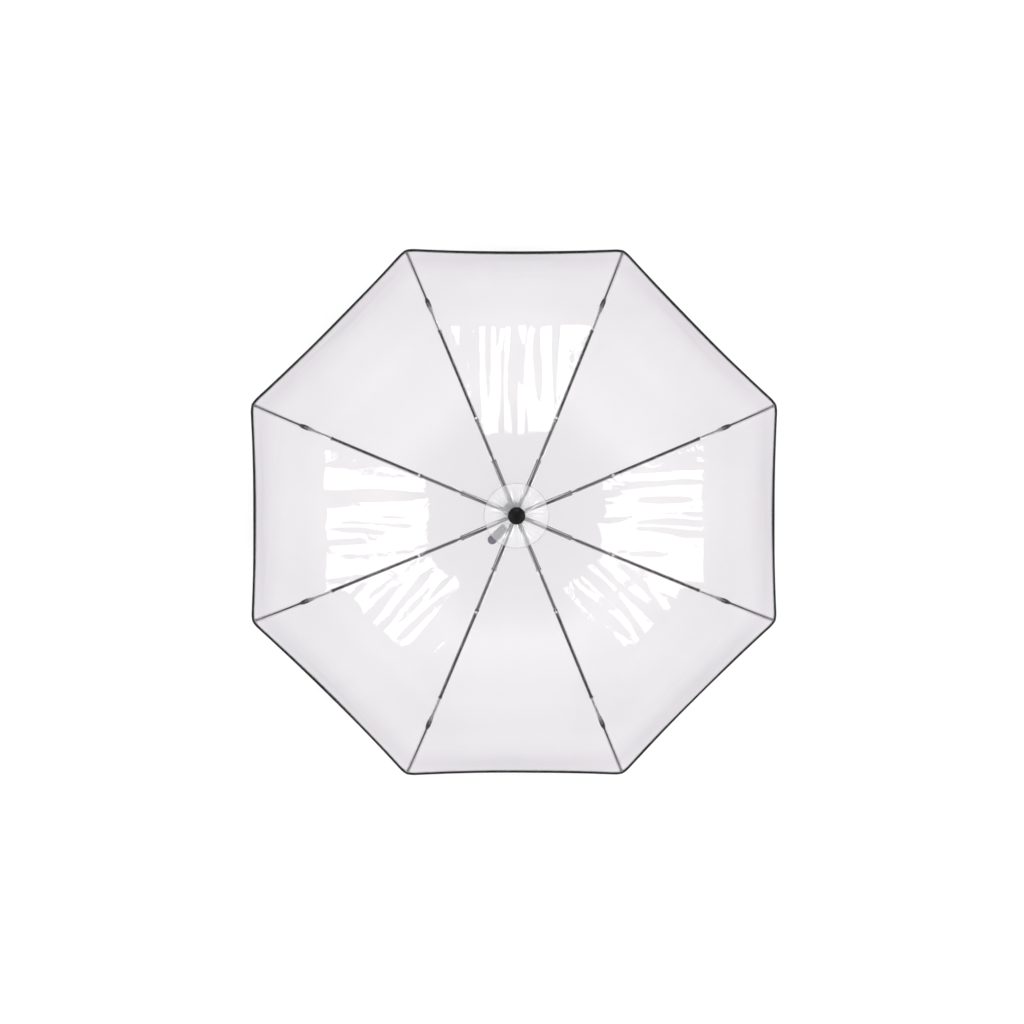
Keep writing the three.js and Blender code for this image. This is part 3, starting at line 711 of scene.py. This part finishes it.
def seam_strip(name, rib, u_low, u_high, body):
    """The welded seam above a rib: a narrow band of doubled film, a little crowned."""
    rows = max(4, round((u_high - u_low) * LINE_LENGTH / CELL))
    columns = 8
    u_values = np.linspace(u_low, u_high, rows + 1)
    across = np.linspace(-1, 1, columns + 1)
    u, side = np.meshgrid(u_values, across, indexing="ij")
    chord = 2 * np.interp(u, LINE_SHARE, LINE_RADIUS) * math.sin(math.pi / RIB_COUNT)
    lift = 0.4 * MM + 0.5 * MM * (1 - side ** 2)
    share = side * np.minimum(SEAM_HALF_WIDTH / chord, 0.42)
    before = canopy_points((rib - 1) % RIB_COUNT, u, 1 + np.minimum(share, 0), lift)
    after = canopy_points(rib, u, np.maximum(share, 0), lift)
    points = np.where((share < 0)[..., None], before, after)
    piece = mesh_object(
        name, points.reshape(-1, 3), grid_faces(rows + 1, columns + 1), SEAM_FILM,
        patch_normals(points).reshape(-1, 3),
    )
    return soft_piece(piece, body)


def hem_frame(rib, side_values):
    """Along the rim: its edge points, the direction down the film and the film's upward normal."""
    edge = rib_patch(rib, U_RIM + 0 * side_values, side_values)
    above = rib_patch(rib, U_RIM - TAPE_COVER / LINE_LENGTH + 0 * side_values, side_values)
    down = edge - above
    down /= np.linalg.norm(down, axis=1, keepdims=True)
    along = np.gradient(edge, axis=0)
    along /= np.linalg.norm(along, axis=1, keepdims=True)
    normal = np.cross(down, along)
    normal /= np.linalg.norm(normal, axis=1, keepdims=True)
    return edge, down, normal


def hem_tape(rib):
    """The tape folded over the film's edge: a flat loop, swept along the rim."""
    edge, down, normal = hem_frame(rib, np.linspace(-0.5, 0.5, 121))
    upper, lower, half = -TAPE_ABOVE_RIM, TAPE_BELOW_RIM, TAPE_HALF_THICKNESS
    fold = (0.5, 1.1, math.pi / 2, math.pi - 1.1, math.pi - 0.5)
    section = [(upper, half * 0.8), (upper * 0.5, half), (0, half)]
    section += [(lower * math.sin(a), half * math.cos(a)) for a in fold]
    section += [(0, -half), (upper * 0.5, -half), (upper, -half * 0.8), (upper - 0.3 * MM, 0)]
    rings = [
        [e + a * d + b * n for a, b in section]
        for e, d, n in zip(edge, down, normal)
    ]
    piece = swept(f"hem_tape_{rib + 1}", rings, TAPE)
    return soft_piece(piece, f"outer_rib_{rib + 1}")


def hem_stitches(rib):
    """One row of machine stitches near the tape's inner edge."""
    edge, down, normal = hem_frame(rib, np.linspace(-0.5, 0.5, 4 * STITCHES + 1))
    points, faces = [], []
    for index in range(STITCHES):
        for at in (4 * index + 1, 4 * index + 3):
            centre = edge[at] - STITCH_SETBACK * down[at] + STITCH_LIFT * normal[at]
            for k in range(STITCH_SIDES):
                angle = math.radians(360 // STITCH_SIDES * k)
                out = math.cos(angle) * down[at] + math.sin(angle) * normal[at]
                points.append(centre + STITCH_RADIUS * out)
        start = 2 * STITCH_SIDES * index
        end = start + STITCH_SIDES
        for k in range(STITCH_SIDES):
            after = (k + 1) % STITCH_SIDES
            faces.append((start + k, start + after, end + after, end + k))
        faces += [tuple(range(start, end)), tuple(reversed(range(end, end + STITCH_SIDES)))]
    piece = mesh_object(f"hem_stitches_{rib + 1}", points, faces, THREAD)
    face_outwards(piece)
    return soft_piece(piece, f"outer_rib_{rib + 1}")


def canopy(rib):
    """The eighth of the canopy about one rib: collar, three sections, seams, hem and disc."""
    number = rib + 1
    top, middle, outer = f"top_rib_{number}", f"middle_rib_{number}", f"outer_rib_{number}"

    collar = film_patch(f"canopy_collar_{number}", rib, level(0.0), level(U_COLLAR), 5, 16, FILM)
    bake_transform(collar)
    collar_width = 2 * COLLAR_RADIUS * math.tan(math.pi / RIB_COUNT)
    declare_sheet(collar, collar_width, U_COLLAR * LINE_LENGTH)

    first, second = crease(FIRST_CREASE), crease(SECOND_CREASE)
    inner_piece = canopy_section(f"canopy_inner_{number}", rib, level(U_COLLAR), first, top)
    middle_piece = canopy_section(f"canopy_middle_{number}", rib, first, second, middle)
    outer_piece = canopy_section(f"canopy_outer_{number}", rib, second, level(U_RIM), outer)
    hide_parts(f"canopy_panel_{number}")
    disc_edge = share_at_radius(DISC_RADIUS)
    seam_end = U_RIM - TAPE_COVER / LINE_LENGTH
    inner_seam = seam_strip(f"seam_inner_{number}", rib, disc_edge, U_FIRST, top)
    middle_seam = seam_strip(f"seam_middle_{number}", rib, U_FIRST, U_SECOND, middle)
    outer_seam = seam_strip(f"seam_outer_{number}", rib, U_SECOND, seam_end, outer)
    edging = [outer_seam, hem_tape(rib), hem_stitches(rib), rim_welt(rib)]
    if rib == 0:
        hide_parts("hem_binding")
    u_first, u_second = float(first(0.5)), float(second(0.5))
    declare_sheet(inner_piece, chord_at(u_first), (u_first - U_COLLAR) * LINE_LENGTH)
    declare_sheet(
        middle_piece, chord_at(u_second), (u_second - U_FIRST) * LINE_LENGTH
    )
    declare_sheet(outer_piece, chord_at(U_RIM), (U_RIM - U_SECOND) * LINE_LENGTH)
    disc_sector(rib)


def rim_welt(rib):
    """The doubled band of film beside the hem tape."""
    number = rib + 1
    u_low, u_high = U_RIM - WELT_END / LINE_LENGTH, U_RIM - TAPE_COVER / LINE_LENGTH
    piece = film_patch(
        f"rim_welt_{number}", rib, level(u_low), level(u_high), 4, COLUMNS, SEAM_FILM, 0.5 * MM
    )
    return soft_piece(piece, f"outer_rib_{number}")


def disc_sector(rib):
    """One eighth of the clear round disc that backs the canopy about the cap."""
    number = rib + 1
    rows, columns = 14, 40
    spacing = (DISC_RADIUS - DISC_HOLE_RADIUS) / rows
    turn = math.pi / RIB_COUNT * 2 / columns
    radii = DISC_HOLE_RADIUS + spacing * np.arange(-1, rows + 2)
    angles = turn * np.arange(-columns // 2 - 1, columns // 2 + 2)
    points = disc_patch(rib, radii, angles, DISC_LIFT)
    normals = patch_normals(points)
    keep = (slice(1, rows + 2), slice(1, columns + 2))
    piece = mesh_object(
        f"hub_disc_{number}", points[keep].reshape(-1, 3), grid_faces(rows + 1, columns + 1), DISC_FILM,
        normals[keep].reshape(-1, 3),
    )
    soft_piece(piece, f"top_rib_{number}")
    if rib == 0:
        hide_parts("reinforcing_disc")
    rim = disc_patch(rib, [DISC_RADIUS], angles[1:-1], BEAD_LIFT)[0]
    bead = round_path(f"hub_disc_bead_{number}", rim, BEAD_RADIUS, SEAM_FILM, 8)
    soft_piece(bead, f"top_rib_{number}")
    width = 2 * DISC_RADIUS * math.sin(math.pi / RIB_COUNT)
    declare_sheet(piece, width, DISC_RADIUS - DISC_HOLE_RADIUS)


for rib in range(RIB_COUNT):
    canopy(rib)


# ---- the ribs ----------------------------------------------------------------

ROD_RADIUS = 1.55 * MM  # clears the folded middle channel by 0.05 mm
STRETCHER_PIVOT_ALONG = 82 * MM


def rib_copy(mesh, name, rib, body, node):
    """One rib's copy of a mesh that was made for the first rib."""
    piece = link(bpy.data.objects.new(name, mesh))
    piece.matrix_world = turn_about_shaft(rib)
    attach(piece, body)
    if node:
        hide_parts(node)


def rivet_mesh(name, pins, material):
    """Domed rivet heads on both sides of the first rib: pins are (point, half width, head radius)."""
    points, faces = [], []
    rings = [(1.0, 0.0), (1.0, 0.25), (0.82, 0.55), (0.45, 0.75)]
    columns = 14
    for point, half_width, head in pins:
        for side in (-1, 1):
            base = len(points)
            for share, height in rings:
                for k in range(columns):
                    a = 2 * math.pi * k / columns
                    at = point + Vector((head * share * math.cos(a), head * share * math.sin(a)))
                    points.append(rib_plane_point(0, at, side * (half_width + head * height)))
            points.append(rib_plane_point(0, point, side * (half_width + head * 0.8)))
            faces += [tuple(base + i for i in face) for face in grid_faces(len(rings), columns, wrap=True)]
            last = base + (len(rings) - 1) * columns
            faces += [(last + k, last + (k + 1) % columns, len(points) - 1) for k in range(columns)]
            faces.append(tuple(base + k for k in range(columns)))
    holder = mesh_object(name, points, faces, material)
    face_outwards(holder)
    return mesh_only(holder)


def plate_mesh(name, outline, across, origin, slope, low, high, material, bevel):
    """A bevelled plate in the first rib's frame.

    The outline is (distance along, share of the half width) pairs; across is the half width.
    """
    bm = bmesh.new()
    corners = []
    for along, side in outline:
        corners.append(bm.verts.new(rib_plane_point(0, step(origin, slope, along, low), side * across)))
    face = bm.faces.new(corners)
    lifted = bmesh.ops.extrude_face_region(bm, geom=[face])
    under = rib_plane_point(0, step(origin, slope, 0, low))
    over = rib_plane_point(0, step(origin, slope, 0, high))
    moved = [v for v in lifted["geom"] if isinstance(v, bmesh.types.BMVert)]
    bmesh.ops.translate(bm, verts=moved, vec=over - under)
    bmesh.ops.recalc_face_normals(bm, faces=bm.faces)
    bmesh.ops.bevel(
        bm, geom=bm.edges[:], offset=bevel, offset_type="OFFSET", segments=3, profile=0.5,
        affect="EDGES", clamp_overlap=True,
    )
    return finished_mesh(bm, name, material, 40)


def connector_outline():
    """The moulded socket: two prongs either side of a slot, narrowing to the rod."""
    return [
        (-7 * MM, -1.0), (-7 * MM, -0.45), (0.4 * MM, -0.4),
        (0.4 * MM, 0.4), (-7 * MM, 0.45), (-7 * MM, 1.0),
        (3 * MM, 1.0), (CONNECTOR_LENGTH - 1 * MM, 0.55), (CONNECTOR_LENGTH, 0.5),
        (CONNECTOR_LENGTH, -0.5), (CONNECTOR_LENGTH - 1 * MM, -0.55), (3 * MM, -1.0),
    ]


def rod_path():
    """The sprung rod's centre line, starting inside its connector."""
    start = step(ROD_START, ARM_SLOPE, -5 * MM)
    path = [rib_plane_point(0, start)]
    for index in range(33):
        point, _ = rod_point(index / 32)
        path.append(rib_plane_point(0, point))
    return path


def tip_path():
    """The tip's moulding, from its sleeve to its rounded end."""
    stations = [
        (-9, 1.5), (-8.4, 2.1), (-3, 2.2), (-2.6, 1.8), (-1.4, 1.8),
        (-1, 2.3), (4, 2.4), (6.4, 2.1), (7.6, 1.3), (8, 0.5),
    ]
    path = [rib_plane_point(0, step(ROD_END, ROD_END_SLOPE, along * MM)) for along, _ in stations]
    return path, [radius * MM for _, radius in stations]


def tie_path():
    """Thread wound round the tip and up through the hem's corner."""
    path = []
    turns, points_per_turn = 4, 14
    for index in range(turns * points_per_turn + 1):
        angle = 2 * math.pi * index / points_per_turn
        along = (-2.6 + 1.2 * index / (turns * points_per_turn)) * MM
        centre = step(ROD_END, ROD_END_SLOPE, along, (1.6 + 2.6 * math.cos(angle)) * MM)
        path.append(rib_plane_point(0, centre, 2.3 * MM * math.sin(angle)))
    return path


def rib_meshes():
    """The meshes that all eight ribs share, in the first rib's place."""
    meshes = {
        "top_rib": refined_mesh("top_rib_1", "top_rib_channel", ZINC, 0.22 * MM),
        "stretcher": refined_mesh("stretcher_1", "stretcher_bars", BLACK_PAINT, 0.25 * MM),
        "middle_rib": refined_mesh("middle_rib_1", "middle_rib_channel", BLACK_PAINT, 0.22 * MM),
        "arm": refined_mesh("outer_arm_1", "outer_arm_bar", SILVER, 0.3 * MM),
        "connector": plate_mesh(
            "rod_connector", connector_outline(), 3.7 * MM, ARM_END, ARM_SLOPE,
            -1.8 * MM, 2.3 * MM, MOULDED, 0.5 * MM,
        ),
        "rod": mesh_only(round_path("rod", rod_path(), ROD_RADIUS, ROD_FIBRE, 14)),
        "ties": mesh_only(round_path("ties", tie_path(), 0.3 * MM, THREAD, 6)),
    }
    path, radii = tip_path()
    meshes["tip"] = mesh_only(round_path("tip", path, radii, MOULDED, 18))
    stretcher_pivot = step(CROWN_PIN, TOP_SLOPE, STRETCHER_PIVOT_ALONG)
    meshes["top_rivets"] = rivet_mesh("top_rivets", [(stretcher_pivot, 2.9 * MM, 1.9 * MM)], RIVET_STEEL)
    middle_pins = [(FIRST_PIN, 2.3 * MM, 1.7 * MM), (SECOND_PIN, 2.3 * MM, 1.6 * MM)]
    meshes["middle_rivets"] = rivet_mesh("middle_rivets", middle_pins, RIVET_STEEL)
    return meshes


def frame_rib(rib, meshes):
    """One rib's pieces: mesh, piece name, body, the CAD node it stands for and slot."""
    n = rib + 1
    stretcher, top, middle, outer = f"stretcher_{n}", f"top_rib_{n}", f"middle_rib_{n}", f"outer_rib_{n}"
    rows = [
        ("top_rib", "top_channel", top, f"top_rib_{n}", "grey_steel"),
        ("top_rivets", "stretcher_rivet", top, None, "grey_steel"),
        ("stretcher", "stretcher_bars", stretcher, f"stretcher_{n}", "painted_steel"),
        ("middle_rib", "middle_channel", middle, f"middle_rib_{n}", "painted_steel"),
        ("middle_rivets", "middle_rivets", middle, None, "painted_steel"),
        ("arm", "arm_bar", outer, f"outer_arm_{n}", "silver_arm"),
        ("connector", "rod_connector", outer, f"tip_rod_{n}", "black_rod"),
        ("rod", "spring_rod", outer, None, "black_rod"),
        ("tip", "rod_tip", outer, None, "black_rod"),
        ("ties", "tip_ties", outer, None, "black_tape"),
    ]
    for mesh, name, body, node, slot_name in rows:
        rib_copy(meshes[mesh], f"{name}_{n}", rib, body, node)


RIB_MESHES = rib_meshes()
for rib in range(RIB_COUNT):
    frame_rib(rib, RIB_MESHES)


# ---- hub, shaft and grip -----------------------------------------------------

CAP_BORE_RADIUS = 6.3 * MM
CAP_DOME_HEIGHT = 5.9 * MM
TUBE_WALL = 0.65 * MM
GRIP_WAVES = 3
LABEL_RIB = 4
LABEL_SLOPE = math.radians(9)


def settle(piece, body, node):
    """Puts a solid piece on its body, in place of its CAD node."""
    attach(piece, body)
    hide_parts(node)


def hub():
    """The crown and the runner with eased edges, and the domed cap."""
    for node, body in (("crown", "top_tube"), ("runner", "runner")):
        mesh = refined_mesh(node, f"{node}_body", MOULDED, 0.3 * MM)
        settle(link(bpy.data.objects.new(f"{node}_body", mesh)), body, node)

    low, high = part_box("cap")
    radius = high.x
    top, base = high.z, low.z
    dome_base = top - CAP_DOME_HEIGHT
    outline = [
        (0.0, top - 6 * MM), (CAP_BORE_RADIUS, top - 6 * MM), (CAP_BORE_RADIUS, base),
        (radius - 1.4 * MM, base), (radius - 0.2 * MM, base + 0.2 * MM), (radius, base + 1.4 * MM),
        (radius, top - 7.5 * MM), (radius - 0.7 * MM, top - 7.0 * MM), (radius - 0.7 * MM, top - 6.4 * MM),
        (radius - 0.1 * MM, dome_base),
    ]
    steps = 14
    for index in range(1, steps):
        angle = index / steps * math.pi / 2
        height = dome_base + CAP_DOME_HEIGHT * math.sin(angle)
        outline.append(((radius - 0.1 * MM) * math.cos(angle), height))
    outline.append((0.0, top))
    settle(turned("cap_shell", rounded(outline, 0.3 * MM), MOULDED), "top_tube", "cap")


def tube_piece(node, name, body):
    """A drawn tube with eased mouths. Rings by the lower one keep the wall's shading straight."""
    low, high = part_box(node)
    radius, bore = high.x, high.x - TUBE_WALL
    outline = [(bore, low.z), (radius, low.z)]
    outline += [(radius, low.z + up * MM) for up in (3, 4, 5.5, 6.5)]
    outline += [(radius, high.z), (bore, high.z), (bore, low.z)]
    settle(turned(name, rounded(outline, 0.25 * MM), BLACK_PAINT, 64), body, node)


def grip():
    """The hand grip: three shallow waves, a groove under its collar and a bore for the shaft."""
    low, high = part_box("handle")
    base, top = low.z, high.z
    radius = high.x
    outline = [
        (0.0, base + 1.0 * MM), (7.5 * MM, base + 1.0 * MM), (8.0 * MM, base), (radius - 4 * MM, base),
        (radius - 1.4 * MM, base + 3 * MM),
    ]
    stations = 30
    body_low, body_high = base + 6 * MM, top - 15 * MM
    for index in range(stations + 1):
        share = index / stations
        swell = 0.5 - 0.5 * math.cos(2 * math.pi * GRIP_WAVES * share)
        height = body_low + share * (body_high - body_low)
        outline.append((radius - 0.9 * MM - 0.5 * MM * swell + 0.5 * MM * share, height))
    outline += [
        (radius - 0.2 * MM, top - 13 * MM), (radius - 0.6 * MM, top - 9 * MM), (13.9 * MM, top - 6.4 * MM),
        (12.9 * MM, top - 6.1 * MM), (12.9 * MM, top - 5.4 * MM), (13.4 * MM, top - 5.1 * MM),
        (13.0 * MM, top - 2 * MM), (11 * MM, top), (4.6 * MM, top), (4.6 * MM, top - 10 * MM),
        (0.0, top - 10 * MM),
    ]
    piece = turned("grip_body", rounded(outline, 0.35 * MM), SOFT_TOUCH)
    settle(piece, "handle", "handle")


def label():
    """A blank woven tab with a round end, sewn under the canopy between the fifth and sixth ribs."""
    azimuth = rib_azimuth(LABEL_RIB) + math.pi / RIB_COUNT
    out = Vector((math.cos(azimuth), math.sin(azimuth), 0))
    side = Vector((-out.y, out.x, 0))
    half, length, thickness = 7 * MM, 36 * MM, 0.5 * MM
    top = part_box("care_label")[1].z
    rows, columns = 40, 14
    rings = []
    for row in range(rows + 1):
        along = length * row / rows
        over = max(0.0, along - (length - half))
        width = math.sqrt(max(half ** 2 - over ** 2, (0.4 * MM) ** 2))
        drop = math.tan(LABEL_SLOPE) * along + 1.6 * MM * (along / length) ** 2
        ring = []
        for index in range(columns + 1):
            across = -1 + 2 * index / columns
            curl = 0.9 * MM * across ** 2 * (0.3 + along / length)
            flat = out * (24 * MM + along) + side * (width * across)
            ring.append(flat + Vector((0, 0, top - drop - curl)))
        rings.append(ring)
    upper = [p for ring in rings for p in ring]
    faces = grid_faces(rows + 1, columns + 1)
    piece = mesh_object("label_tab", upper, faces, LABEL_CLOTH)
    thick = piece.modifiers.new("cloth", "SOLIDIFY")
    thick.thickness = thickness
    thick.offset = 0
    bpy.context.view_layer.update()
    evaluated = piece.evaluated_get(bpy.context.evaluated_depsgraph_get())
    piece.data = bpy.data.meshes.new_from_object(evaluated)
    piece.modifiers.clear()
    face_outwards(piece)
    settle(piece, "top_rib_5", "care_label")
    gather(piece)


hub()
tube_piece("top_tube", "top_tube_shell", "top_tube")
tube_piece("middle_tube", "middle_tube_shell", "middle_tube")
tube_piece("lower_tube", "lower_tube_shell", "handle")
grip()
label()


# ---- floor, light and camera -------------------------------------------------

FLOOR_Z = CAD_BOX[0][2]
FLOOR_HALF = 14.0
HUB = Vector((0, 0, 0.45))
WORLD_STRENGTH = 1.0
OVERHEAD_STRENGTH = 3.1
SOFTBOX_STRENGTH = 6.0
SOFTBOX_DISTANCE = 3.0

# Name, azimuth, least and greatest angle from the zenith in degrees, half width in metres.
SOFTBOXES = (
    ("softbox_north", 90, 27, 64, 0.26),
    ("softbox_west", 180, 31, 66, 0.25),
    ("softbox_east", 0, 31, 66, 0.25),
    ("softbox_south_west", 232, 33, 56, 0.16),
    ("softbox_south_east", 308, 33, 56, 0.16),
)
CAMERA_LENS = 45.6
CAMERA_POSITION = Vector((-0.032, 0.045, 2.5))
CAMERA_TARGET = Vector((-0.0044, 0.0017, TIP_END.y))


def floor():
    half, cells = FLOOR_HALF, 8
    points = [
        (-half + 2 * half * i / cells, -half + 2 * half * j / cells, FLOOR_Z)
        for i in range(cells + 1) for j in range(cells + 1)
    ]
    sheet = mesh_object("floor", points, grid_faces(cells + 1, cells + 1), FLOOR_PAINT)
    face_outwards(sheet)


def softbox(name, azimuth, zenith_low, zenith_high, half_width):
    """A bright panel facing the hub, seen only in reflections. Angles are in degrees."""
    azimuth = math.radians(azimuth)
    zenith = math.radians((zenith_low + zenith_high) / 2)
    half_height = SOFTBOX_DISTANCE * math.tan(math.radians((zenith_high - zenith_low) / 2))
    away = Vector((
        math.sin(zenith) * math.cos(azimuth), math.sin(zenith) * math.sin(azimuth), math.cos(zenith),
    ))
    side = Vector((-math.sin(azimuth), math.cos(azimuth), 0))
    up = side.cross(away)
    centre = HUB + away * SOFTBOX_DISTANCE
    cells = 4
    points = [
        centre + side * half_width * (2 * i / cells - 1) + up * half_height * (2 * j / cells - 1)
        for i in range(cells + 1) for j in range(cells + 1)
    ]
    material, tree = new_material(name)
    tree.nodes.clear()
    output = tree.nodes.new("ShaderNodeOutputMaterial")
    glow = add_node(tree, "ShaderNodeEmission", Strength=SOFTBOX_STRENGTH)
    tree.links.new(glow.outputs[0], output.inputs["Surface"])
    panel = mesh_object(name, points, grid_faces(cells + 1, cells + 1), material)
    for flag in ("visible_camera", "visible_diffuse", "visible_transmission", "visible_shadow"):
        setattr(panel, flag, False)


def studio():
    """A pale sky that darkens overhead, one wide soft sun and the panels."""
    world = bpy.data.worlds.new("studio")
    SCENE.world = world
    world.use_nodes = True
    tree = world.node_tree
    background = tree.nodes["Background"]
    coordinates = tree.nodes.new("ShaderNodeTexCoord")
    split = tree.nodes.new("ShaderNodeSeparateXYZ")
    tree.links.new(coordinates.outputs["Generated"], split.inputs[0])
    glow = ramp_node(tree, split.outputs["Z"], [(0.0, 1.0), (0.15, 0.92), (0.55, 0.36), (1.0, 0.12)])
    tree.links.new(glow.outputs["Color"], background.inputs["Color"])
    background.inputs["Strength"].default_value = WORLD_STRENGTH

    overhead = bpy.data.lights.new("overhead", "SUN")
    overhead.angle = math.radians(75)
    overhead.energy = OVERHEAD_STRENGTH
    lamp = link(bpy.data.objects.new("overhead", overhead))
    lamp.visible_glossy = False

    for row in SOFTBOXES:
        softbox(*row)


def camera():
    """Looks down at the canopy from the photograph's angle."""
    data = bpy.data.cameras.new("camera")
    data.sensor_width = 36
    data.lens = CAMERA_LENS
    camera_object = link(bpy.data.objects.new("camera", data))
    position = CAMERA_POSITION
    forward = (CAMERA_TARGET - position).normalized()
    right = forward.cross(Vector((0, 1, 0))).normalized()
    up = right.cross(forward)
    camera_object.matrix_world = Matrix((
        (right.x, up.x, -forward.x, position.x),
        (right.y, up.y, -forward.y, position.y),
        (right.z, up.z, -forward.z, position.z),
        (0, 0, 0, 1),
    ))
    SCENE.camera = camera_object


floor()
studio()
camera()
SCENE.view_settings.view_transform = "Standard"
